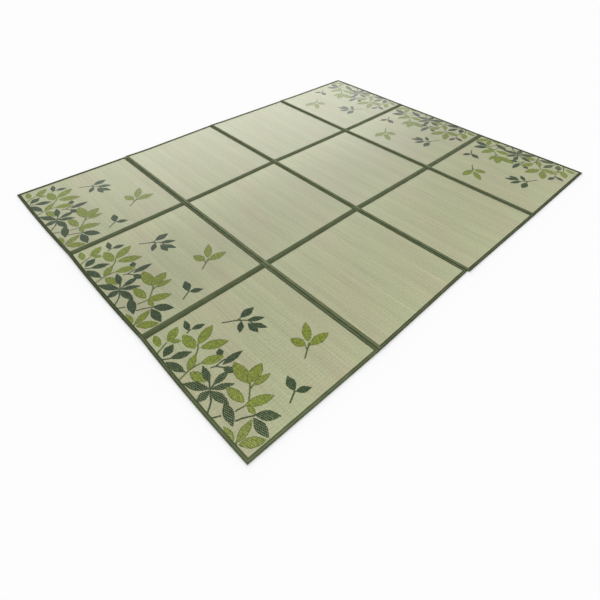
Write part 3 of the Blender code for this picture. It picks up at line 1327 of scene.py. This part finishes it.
    def add_backing(self, cloth: ClothMesh, xs: list[float], columns: list[float],
                    edges: list[dict[int, int]], left_side: list[int], right_side: list[int],
                    wall: Colour) -> None:
        """Closes the panel with its cut edges and its backing.

        Args:
            cloth: The piece being built.
            xs: The courses' edges.
            columns: The places across the panel that the backing has points at.
            edges: The top's points at each course edge.
            left_side: The top's points along the left edge.
            right_side: The top's points along the right edge.
            wall: The colour of the cut edge.
        """
        courses = len(xs) - 1
        wanted = [0.0, self.step_inner, self.step_outer, LIFT_REACH / 2, LIFT_REACH]
        steps = {min(range(courses + 1), key=lambda n: abs(xs[n] - (self.row.start + d))) for d in wanted}
        steps |= {min(range(courses + 1), key=lambda n: abs(xs[n] - (self.row.finish - d))) for d in wanted}
        steps = sorted(steps | {0, courses // 2, courses})
        extra = []
        if self.strip == 1:
            extra += [self.row.left - self.step_inner, self.row.left - self.step_outer]
        if self.strip == STRIP_COUNT:
            extra += [self.row.right + self.step_inner, self.row.right + self.step_outer]
        ys = sorted(columns + extra)
        grid = [[cloth.point(self.row.laid(xs[n], y, self.underside(xs[n], y)),
                             (xs[n] - self.row.start, self.left_line - y)) for y in ys] for n in steps]
        for near, far in zip(grid, grid[1:]):
            for a, b, c, d in zip(near, near[1:], far[1:], far):
                cloth.face((a, b, c, d), wall, 1)
        for (low, high), near, far in zip(zip(steps, steps[1:]), grid, grid[1:]):
            for side, column in ((left_side, -1), (right_side, 0)):
                cloth.face([*side[2 * low:2 * high + 1], far[column], near[column]], wall)
        for edge, line in ((edges[0], grid[0]), (edges[-1], grid[-1])):
            shared = {mark(y): number for y, number in zip(ys, line)}
            marks = [k for k in sorted(shared) if k in edge]
            for low, high in zip(marks, marks[1:]):
                chain = [edge[k] for k in sorted(edge) if low <= k <= high]
                below = [shared[k] for k in sorted(shared) if low <= k <= high]
                cloth.face([*chain, *reversed(below)], wall)

    @property
    def flat_size(self) -> tuple[float, float]:
        """The size the panel is cut to.

        Returns:
            Its size across and along the mat, in metres.
        """
        return (self.left_edge - self.right_edge, self.row.finish - self.row.start - 2 * self.edge_inset)

    @property
    def slot(self) -> str:
        """The record's material slot.

        Returns:
            The slot's name.
        """
        return "leaf_rush" if self.row.number in (1, ROW_COUNT) else "plain_rush"


@dataclass(frozen=True)
class Tape:
    """Sizes that all the tapes share."""

    thickness: float = 0.0008
    bottom: float = 0.0033
    edge_round: float = 0.0004
    sewing_inset: float = 0.0030
    sewing_dip: float = 0.00018
    station_pitch: float = 0.0080
    thread_sink: float = 0.0001

    @property
    def top(self) -> float:
        """The height of a tape's upper face above the floor.

        Returns:
            The height, in metres.
        """
        return self.bottom + self.thickness


TAPE = Tape()


def stations(first: float, last: float, extra: Iterable[float] = ()) -> list[float]:
    """Even places along a tape, with some more.

    Args:
        first: The tape's first end.
        last: Its other end.
        extra: Places to add.

    Returns:
        The places in order.
    """
    count = math.ceil((last - first) / TAPE.station_pitch)
    even = [between(first, last, n / count) for n in range(count + 1)]
    return sorted(set(even) | {place for place in extra if first < place < last})


def lay_tape(cloth: ClothMesh, rings: list[list[int]], shade: Callable[[int, int], Colour]) -> None:
    """Joins rings of points into a closed tape.

    Args:
        cloth: The piece being built.
        rings: The section's points at each station.
        shade: Gives the colour from the station's and the section's number.
    """
    for n, (near, far) in enumerate(zip(rings, rings[1:])):
        for m in range(len(near)):
            after = (m + 1) % len(near)
            cloth.face((near[m], near[after], far[after], far[m]), shade(n, m))
    cloth.face(rings[0], shade(0, 0))
    cloth.face(rings[-1], shade(len(rings) - 2, 0))


class Stitching:
    """Rows of short stitches, each a small drawn-in length of thread."""

    PITCH = 0.0062
    LENGTH = 0.0042
    WIDTH = 0.00075
    HEIGHT = 0.00040

    def __init__(self) -> None:
        """Models one stitch, for copying."""
        bpy.ops.object.select_all(action="DESELECT")
        bpy.ops.mesh.primitive_uv_sphere_add(segments=4, ring_count=4, radius=0.5)
        stitch = bpy.context.active_object
        stitch.rotation_euler = (0.0, math.radians(90.0), 0.0)
        bpy.ops.object.transform_apply(location=False, rotation=True, scale=False)
        stitch.scale = (self.LENGTH, self.WIDTH, self.HEIGHT)
        bpy.ops.object.transform_apply(location=False, rotation=False, scale=True)
        self.corners = [tuple(v.co) for v in stitch.data.vertices]
        self.faces = [tuple(f.vertices) for f in stitch.data.polygons]
        bpy.data.objects.remove(stitch, do_unlink=True)

    def sew(self, name: str, length: float, place: Callable[[float], Point],
            material: bpy.types.Material) -> bpy.types.Object:
        """Sews one row of stitches.

        Args:
            name: The thread's name.
            length: How long the row is.
            place: Gives the row's line from the distance along it.
            material: The thread's finish.

        Returns:
            The thread.
        """
        points: list[Point] = []
        faces: list[tuple[int, ...]] = []
        count = int(length / self.PITCH)
        for n in range(count):
            middle = (n + 0.5) * length / count
            here = Vector(place(middle))
            ahead = Vector(place(middle + self.LENGTH / 2)) - Vector(place(middle - self.LENGTH / 2))
            turn = ahead.to_track_quat("X", "Z")
            first = len(points)
            points += [tuple(here + turn @ Vector(corner)) for corner in self.corners]
            faces += [tuple(first + corner for corner in face) for face in self.faces]
        mesh = bpy.data.meshes.new(name)
        mesh.from_pydata(points, [], faces)
        mesh.materials.append(material)
        mesh.shade_smooth()
        thread = bpy.data.objects.new(name, mesh)
        bpy.context.scene.collection.objects.link(thread)
        return thread


def joined(pieces: Sequence[bpy.types.Object], name: str) -> bpy.types.Object:
    """Joins pieces into one.

    Args:
        pieces: The pieces.
        name: The name of the whole.

    Returns:
        The whole.
    """
    bpy.ops.object.select_all(action="DESELECT")
    for piece in pieces:
        piece.select_set(True)
    bpy.context.view_layer.objects.active = pieces[0]
    if len(pieces) > 1:
        bpy.ops.object.join()
    whole = bpy.context.view_layer.objects.active
    whole.name = name
    whole.data.name = name
    whole.select_set(False)
    return whole


@dataclass
class SeamTape:
    """The flat tape sewn over the opening between two panels of a row."""

    row: Row
    seam: int
    width: float = 0.0285
    end_tuck: float = 0.0024
    pale_near: float = 0.31
    pale_far: float = 0.32
    # Painted highlight and shade across the tape, lighter towards the left edge
    side_light: float = 0.16
    thread_inset: float = 0.0160

    @property
    def node(self) -> str:
        """The tape's CAD node.

        Returns:
            The node's name.
        """
        return f"seam_tape_{self.row.number}_{self.seam}"

    @property
    def name(self) -> str:
        """The name of the sewn tape.

        Returns:
            The name.
        """
        return f"sewn_tape_{self.row.number}_{self.seam}"

    @property
    def ends(self) -> tuple[float, float]:
        """The tape's two ends along X, tucked under the bindings.

        Returns:
            The x of each end, in metres.
        """
        return self.row.start + self.end_tuck, self.row.finish - self.end_tuck

    def section(self) -> list[tuple[float, float]]:
        """The tape in section, as (offset from its middle, height).

        Returns:
            The section's points, in order round it.
        """
        half = self.width / 2
        sewn = half - TAPE.sewing_inset
        top = TAPE.top
        upper = [
            (half, TAPE.bottom + TAPE.edge_round), (half - 0.0002, top - 0.00022), (half - 0.0008, top),
            (sewn + 0.0009, top), (sewn, top - TAPE.sewing_dip), (sewn - 0.0011, top),
        ]
        return [
            (-half + 0.0002, TAPE.bottom), (half - 0.0002, TAPE.bottom), *upper, (half * 0.35, top - 0.00004),
            (-half * 0.35, top - 0.00004), *[(-offset, height) for offset, height in reversed(upper)],
        ]

    def build(self, finishes: Finishes, stitching: Stitching) -> tuple[bpy.types.Object, bpy.types.Object]:
        """Cuts the tape and sews it down.

        Args:
            finishes: The mat's finishes.
            stitching: The stitch that the thread repeats.

        Returns:
            The tape and its thread.
        """
        cloth = ClothMesh("tape", "tape_tone")
        middle = self.row.seam(self.seam)
        first, last = self.ends
        wander = Drift(self.row.number * 31 + self.seam, 0.0004, 0.09)
        places = stations(first, last)
        section = self.section()
        rings = [
            [
                cloth.point(
                    self.row.laid(x, middle + offset + wander.at(x), height),
                    (x - first, offset + height),
                )
                for offset, height in section
            ]
            for x in places
        ]
        patchy = Drift(self.row.number * 17 + self.seam, 0.05, 0.16)
        near_part = [(x + MAT_LENGTH / 2) / MAT_LENGTH for x in places]

        def shade(n: int, m: int) -> Colour:
            """The colour of one face: a painted highlight on the side towards the left edge, and painted
            shade on the other side.

            Args:
                n: The number of the face's station.
                m: Its number round the section.

            Returns:
                The linear colour.
            """
            across = (section[m][0] + section[(m + 1) % len(section)][0]) / self.width
            wear_and_light = between(self.pale_near, self.pale_far, near_part[n]) + patchy.at(places[n])
            # Painted highlight and shade across the tape
            wear_and_light += self.side_light * across
            return finishes.tape_tones.shade(max(wear_and_light, 0.0))

        lay_tape(cloth, rings, shade)
        tape = cloth.finish(self.name, (finishes.tape,), 50.0)
        lines = []
        for side in (1, -1):
            offset = side * (self.width / 2 - TAPE.sewing_inset)

            def place(distance: float, offset: float = offset) -> Point:
                """Where the row of stitches runs.

                Args:
                    distance: The distance along the row of stitches.
                    offset: The row's distance from the tape's middle line.

                Returns:
                    The place on the mat.
                """
                x = self.row.start + self.thread_inset + distance
                return self.row.laid(x, middle + offset + wander.at(x), TAPE.top - TAPE.thread_sink)

            length = self.row.finish - self.row.start - 2 * self.thread_inset
            lines.append(stitching.sew(f"{self.name}_thread", length, place, finishes.thread))
        return tape, joined(lines, f"{self.name}_thread")

    @property
    def flat_size(self) -> tuple[float, float]:
        """The size the tape is cut to.

        Returns:
            Its width and length, in metres.
        """
        first, last = self.ends
        return self.width, last - first


@dataclass
class Binding:
    """Tape folded round one edge of a row, mitred at both ends."""

    row: Row
    edge: End | Side
    leg: float = 0.0142
    round_depth: float = 0.0020
    wall: float = 0.0011
    lower_top: float = 0.0008
    clearance: float = 0.0003
    round_steps: int = 10
    bump_height: float = 0.0011
    bump_reach: float = 0.01545
    bump_ramp: float = 0.0065
    # Painted highlight on a line beside the outer edge, and half as much painted shade on the rounded edge
    # and the inner part
    band_light: float = 0.20
    # Painted highlight where the tape rises over a seam tape
    rise_highlight: float = 0.12
    thread_inset: float = 0.0120

    @property
    def node(self) -> str:
        """The binding's CAD node.

        Returns:
            The node's name.
        """
        kind = "end" if isinstance(self.edge, End) else "side"
        return f"{kind}_binding_{self.row.number}_{self.edge.value}"

    @property
    def name(self) -> str:
        """The name of the folded binding.

        Returns:
            The name.
        """
        return f"folded_tape_{self.row.number}_{self.edge.value}"

    @property
    def length(self) -> float:
        """The length of the edge that it binds.

        Returns:
            The length, in metres.
        """
        return MAT_WIDTH if isinstance(self.edge, End) else self.row.finish - self.row.start

    @property
    def seams(self) -> list[float]:
        """The places along an end binding where it passes over a seam tape.

        Returns:
            The distances along the edge, in metres.
        """
        if isinstance(self.edge, Side):
            return []
        return [STRIP_PITCH * seam for seam in range(1, STRIP_COUNT)]

    def section(self) -> list[tuple[float, float]]:
        """The folded tape in section, as (distance in from the outer edge, height).

        Returns:
            The section's points, in order round it.
        """
        outer = []
        for step in range(self.round_steps + 1):
            angle = math.radians(-90.0 + 180.0 * step / self.round_steps)
            depth = self.round_depth * (1.0 - math.cos(angle))
            outer.append((depth, TAPE.top / 2 * (1.0 + math.sin(angle))))
        sewn = self.leg - TAPE.sewing_inset
        upper = [
            (0.0048, TAPE.top), (0.0092, TAPE.top), (sewn - 0.0011, TAPE.top),
            (sewn, TAPE.top - TAPE.sewing_dip), (sewn + 0.0009, TAPE.top),
            (self.leg - 0.0008, TAPE.top), (self.leg - 0.0002, TAPE.top - 0.00022),
            (self.leg, TAPE.bottom + TAPE.edge_round), (self.leg - 0.0002, TAPE.bottom),
        ]
        inner = [(self.wall + 0.0004, TAPE.bottom), (self.wall, TAPE.bottom - 0.0004),
                 (self.wall, self.lower_top + 0.0004), (self.wall + 0.0004, self.lower_top)]
        lower = [
            (self.leg - 0.0002, self.lower_top), (self.leg, self.lower_top / 2), (self.leg - 0.0002, 0.0),
        ]
        return outer + upper + inner + lower

    def rise(self, along: float) -> float:
        """How far the upper leg is raised over a seam tape.

        Args:
            along: The distance along the edge.

        Returns:
            The rise, in metres.
        """
        if not self.seams:
            return 0.0
        past = min(abs(along - place) for place in self.seams) - self.bump_reach
        return self.bump_height * eased(1.0 - past / self.bump_ramp)

    def placed(self, along: float, depth: float, height: float) -> Point:
        """Where a point of the folded tape lies on the mat.

        Args:
            along: The distance along the edge.
            depth: The distance in from it.
            height: The height.

        Returns:
            The point's place.
        """
        row = self.row
        if height > TAPE.top / 2:
            height += self.rise(along)
        if self.edge is End.START:
            return row.laid(row.start + depth, row.left - along, height)
        if self.edge is End.FINISH:
            return row.laid(row.finish - depth, row.left - along, height)
        if self.edge is Side.LEFT:
            return row.laid(row.start + along, row.left - depth, height)
        return row.laid(row.start + along, row.right + depth, height)

    def build(self, finishes: Finishes, stitching: Stitching) -> tuple[bpy.types.Object, bpy.types.Object]:
        """Folds the tape round its edge and sews it down.

        Args:
            finishes: The mat's finishes.
            stitching: The stitch that the thread repeats.

        Returns:
            The binding and its thread.
        """
        cloth = ClothMesh("tape", "tape_tone")
        section = self.section()
        seed = self.row.number * 53 + len(self.edge.value) * 7 + ord(self.edge.value[0])
        wander = Drift(seed, 0.00035, 0.07)
        pucker = Drift(seed + 1, 0.00012, 0.035)
        patchy = Drift(seed + 2, 0.07, 0.14)
        marks = [place + sign * (self.bump_reach + ramp) for place in self.seams for sign in (-1, 1)
                 for ramp in (0.0, self.bump_ramp / 3, self.bump_ramp * 2 / 3, self.bump_ramp)]
        places = stations(0.0, self.length, marks)
        cut_back = self.clearance / 2 * math.sqrt(2.0)
        first_bend = self.leg + 0.004
        rings = []
        for along in places:
            ring = []
            for depth, height in section:
                inward = depth
                level = height
                free = eased(min(along, self.length - along) / 0.03 - 0.5)
                if depth > self.leg - 0.0012 and height > TAPE.top / 2:
                    inward += wander.at(along) * free
                if height > TAPE.bottom:
                    level += abs(pucker.at(along)) * free * (1.0 if depth < self.leg / 2 else 0.0)
                start_cut = inward + cut_back
                if along < first_bend:
                    along_here = between(start_cut, first_bend, along / first_bend)
                elif along > self.length - first_bend:
                    part = (self.length - along) / first_bend
                    along_here = self.length - between(start_cut, first_bend, part)
                else:
                    along_here = along
                ring.append(cloth.point(self.placed(along_here, inward, level), (along_here, inward + level)))
            rings.append(ring)
        outer_count = self.round_steps + 1
        # Painted highlight and shade along the edge
        edge_light = BINDING_LIGHT[self.row.number, self.edge]

        def shade(n: int, m: int) -> Colour:
            """The colour of one face: painted light along the edge, a painted highlight where it rises over a
            seam tape and on a line beside the outer edge, and painted shade on the rounded edge and the inner
            part.

            Args:
                n: The number of the face's station.
                m: Its number round the section.

            Returns:
                The linear colour.
            """
            part = places[n] / self.length
            wear_and_light = float(np.interp(part, (0.0, 0.5, 1.0), edge_light)) + patchy.at(places[n])
            # Painted highlight where the tape rises over a seam tape
            if self.rise(places[n]) > self.bump_height / 2:
                wear_and_light += self.rise_highlight
            # Painted shade on the rounded edge and the tape's inner part, painted highlight on the line
            # beside the outer edge
            if m < outer_count - 1:
                wear_and_light -= self.band_light / 2
            elif m == outer_count:
                wear_and_light += self.band_light
            elif m > outer_count:
                wear_and_light -= self.band_light / 2
            return finishes.tape_tones.shade(max(wear_and_light, 0.0))

        lay_tape(cloth, rings, shade)
        tape = cloth.finish(self.name, (finishes.tape,), 50.0)
        depth = self.leg - TAPE.sewing_inset

        def place(distance: float) -> Point:
            """Where the row of stitches runs.

            Args:
                distance: The distance along the row of stitches.

            Returns:
                The place on the mat.
            """
            return self.placed(self.thread_inset + distance, depth, TAPE.top - TAPE.thread_sink)

        sewn_length = self.length - 2 * self.thread_inset
        thread = stitching.sew(f"{self.name}_thread", sewn_length, place, finishes.thread)
        return tape, thread

    @property
    def flat_size(self) -> tuple[float, float]:
        """The size the tape is cut to: both legs and the way round the edge.

        Returns:
            Its width and length, in metres.
        """
        girth = math.pi * (self.round_depth + TAPE.top / 2) / 2
        return 2 * (self.leg - self.round_depth) + girth, self.length


@dataclass
class FoldLacing:
    """Thread whipped over the fold between two rows, which holds them edge to edge."""

    before: Row
    after: Row
    pitch: float = 0.0085
    reach: float = 0.0026
    slant: float = 0.0012
    radius: float = 0.00024
    sides: int = 5
    arc_steps: int = 4
    end_inset: float = 0.020
    sink: float = 0.00035

    @property
    def name(self) -> str:
        """The lacing's name.

        Returns:
            The name.
        """
        return f"fold_{self.before.number}_lacing"

    def build(self, finishes: Finishes, over: Binding) -> bpy.types.Object:
        """Laces the fold.

        Args:
            finishes: The mat's finishes.
            over: A binding of the fold, which tells where it rises over the seam tapes.

        Returns:
            The lacing.
        """
        points: list[Point] = []
        faces: list[tuple[int, ...]] = []
        count = int((MAT_WIDTH - 2 * self.end_inset) / self.pitch)
        for n in range(count + 1):
            along = between(self.end_inset, MAT_WIDTH - self.end_inset, n / count)
            height = TAPE.top + over.rise(along) + self.radius * 0.4
            y = self.before.left - along
            near = Vector(self.before.laid(self.before.finish - self.reach, y + self.slant, height))
            far = Vector(self.after.laid(self.after.start + self.reach, y - self.slant, height))
            ahead = (far - near).normalized()
            side = ahead.cross(Vector((0.0, 0.0, 1.0))).normalized()
            up = side.cross(ahead)
            first = len(points)
            for step in range(self.arc_steps + 1):
                part = step / self.arc_steps
                bow = math.sin(math.pi * part)
                sunk = self.sink * bow + (self.radius if step in (0, self.arc_steps) else 0.0)
                centre = near.lerp(far, part) - up * sunk
                thick = self.radius * (0.6 + 0.4 * bow)
                for corner in range(self.sides):
                    turn = math.tau * corner / self.sides
                    offset = side * math.cos(turn) + up * math.sin(turn)
                    points.append(tuple(centre + offset * thick))
            for step in range(self.arc_steps):
                for corner in range(self.sides):
                    a = first + step * self.sides + corner
                    b = first + step * self.sides + (corner + 1) % self.sides
                    faces.append((a, b, b + self.sides, a + self.sides))
            faces.append(tuple(first + corner for corner in reversed(range(self.sides))))
            faces.append(tuple(first + self.arc_steps * self.sides + corner for corner in range(self.sides)))
        mesh = bpy.data.meshes.new(self.name)
        mesh.from_pydata(points, [], faces)
        mesh.materials.append(finishes.lacing)
        thread = bmesh.new()
        thread.from_mesh(mesh)
        bmesh.ops.recalc_face_normals(thread, faces=thread.faces)
        thread.to_mesh(mesh)
        thread.free()
        mesh.shade_smooth()
        lacing = bpy.data.objects.new(self.name, mesh)
        bpy.context.scene.collection.objects.link(lacing)
        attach(lacing, BODY)
        return lacing


# How light each binding is painted, from 0 for deep green to 1 for pale: painted highlight and shade, as the
# light falls along each edge
#   first end, middle and last end of each edge
BINDING_LIGHT = {
    (1, End.START): (0.03, 0.0, 0.42),
    (1, End.FINISH): (0.28, 0.30, 0.30),
    (2, End.START): (0.48, 0.52, 0.50),
    (2, End.FINISH): (0.22, 0.22, 0.24),
    (3, End.START): (0.45, 0.48, 0.45),
    (3, End.FINISH): (0.20, 0.20, 0.22),
    (4, End.START): (0.50, 0.45, 0.40),
    (4, End.FINISH): (0.10, 0.10, 0.00),
    (1, Side.LEFT): (0.10, 0.12, 0.14),
    (2, Side.LEFT): (0.14, 0.14, 0.16),
    (3, Side.LEFT): (0.16, 0.18, 0.20),
    (4, Side.LEFT): (0.20, 0.20, 0.20),
    (1, Side.RIGHT): (0.45, 0.42, 0.32),
    (2, Side.RIGHT): (0.25, 0.22, 0.20),
    (3, Side.RIGHT): (0.15, 0.15, 0.12),
    (4, Side.RIGHT): (0.10, 0.05, 0.00),
}


@dataclass
class Studio:
    """The pale floor, the soft light and the camera."""

    floor_size: float = 60.0
    floor_colour: Colour = linear(250, 250, 250)
    world_strength: float = 0.88
    sun_strength: float = 2.1
    sun_width_degrees: float = 50.0
    sun_from: Point = (0.59, 0.80, 0.20)

    def build(self) -> None:
        """Makes the floor, the lights and the camera."""
        self.lay_floor()
        self.light()
        self.set_camera()

    def lay_floor(self) -> None:
        """A plain pale floor under the mat."""
        bpy.ops.object.select_all(action="DESELECT")
        bpy.ops.mesh.primitive_plane_add(size=self.floor_size, location=(0.0, 0.0, 0.0))
        floor = bpy.context.active_object
        floor.name = "studio_floor"
        sheet = NodeSheet("studio_floor")
        sheet.feed(sheet.surface.inputs["Base Color"], (*self.floor_colour, 1.0))
        sheet.surface_values(Roughness=0.95, Specular_IOR_Level=0.0)
        floor.data.materials.append(sheet.material)

    def light(self) -> None:
        """Even light from all round, and a broad soft light from behind the left edge."""
        world = bpy.data.worlds.new("studio")
        world.use_nodes = True
        background = world.node_tree.nodes["Background"]
        background.inputs["Color"].default_value = (1.0, 1.0, 1.0, 1.0)
        background.inputs["Strength"].default_value = self.world_strength
        bpy.context.scene.world = world
        lamp = bpy.data.lights.new("window_light", "SUN")
        lamp.energy = self.sun_strength
        lamp.angle = math.radians(self.sun_width_degrees)
        sun = bpy.data.objects.new("window_light", lamp)
        sun.rotation_mode = "QUATERNION"
        sun.rotation_quaternion = Vector(self.sun_from).to_track_quat("Z", "Y")
        sun.location = Vector(self.sun_from) * 4.0
        bpy.context.scene.collection.objects.link(sun)

    def set_camera(self) -> None:
        """The camera, at the photograph's place and angle."""
        data = bpy.data.cameras.new("photo_camera")
        data.sensor_width = CAMERA_SENSOR_MM
        data.lens = CAMERA_LENS_MM
        data.clip_start = 0.05
        data.clip_end = 200.0
        camera = bpy.data.objects.new("photo_camera", data)
        camera.location = CAMERA_PLACE
        look = Vector(CAMERA_AIM) - Vector(CAMERA_PLACE)
        roll = Quaternion((0.0, 0.0, 1.0), math.radians(CAMERA_ROLL_DEGREES))
        camera.rotation_mode = "QUATERNION"
        camera.rotation_quaternion = look.to_track_quat("-Z", "Y") @ roll
        bpy.context.scene.collection.objects.link(camera)
        bpy.context.scene.camera = camera


class RushMat:
    """The whole mat: its rows of panels, tapes and bindings, and the lacing of its folds."""

    def __init__(self) -> None:
        """Gets the finishes, the pattern and the stitch ready."""
        self.rows = [Row(number) for number in range(1, ROW_COUNT + 1)]
        self.finishes = Finishes()
        self.pattern = LeafPattern()
        self.stitching = Stitching()

    def build(self) -> None:
        """Builds every piece of the mat in order."""
        for row in self.rows:
            for strip in range(1, STRIP_COUNT + 1):
                panel = RushPanel(row, strip)
                dress(panel.build(self.finishes, self.pattern), panel.node, panel.slot, panel.flat_size)
            for seam in range(1, STRIP_COUNT):
                tape = SeamTape(row, seam)
                cloth, thread = tape.build(self.finishes, self.stitching)
                dress(cloth, tape.node, "seam_tape", tape.flat_size, [thread])
            for edge in (*End, *Side):
                binding = Binding(row, edge)
                cloth, thread = binding.build(self.finishes, self.stitching)
                dress(cloth, binding.node, "binding", binding.flat_size, [thread])
            log.info("row %d is laid", row.number)
        for before, after in zip(self.rows, self.rows[1:]):
            lacing = FoldLacing(before, after)
            lacing.build(self.finishes, Binding(before, End.FINISH))
            log.info("fold %d is laced", before.number)


def main() -> None:
    """Loads the frame, builds the mat and sets up the studio."""
    logging.basicConfig(level=logging.INFO, format="%(message)s")
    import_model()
    RushMat().build()
    Studio().build()
    bpy.context.scene.view_settings.view_transform = "Standard"


if __name__ == "__main__":
    main()
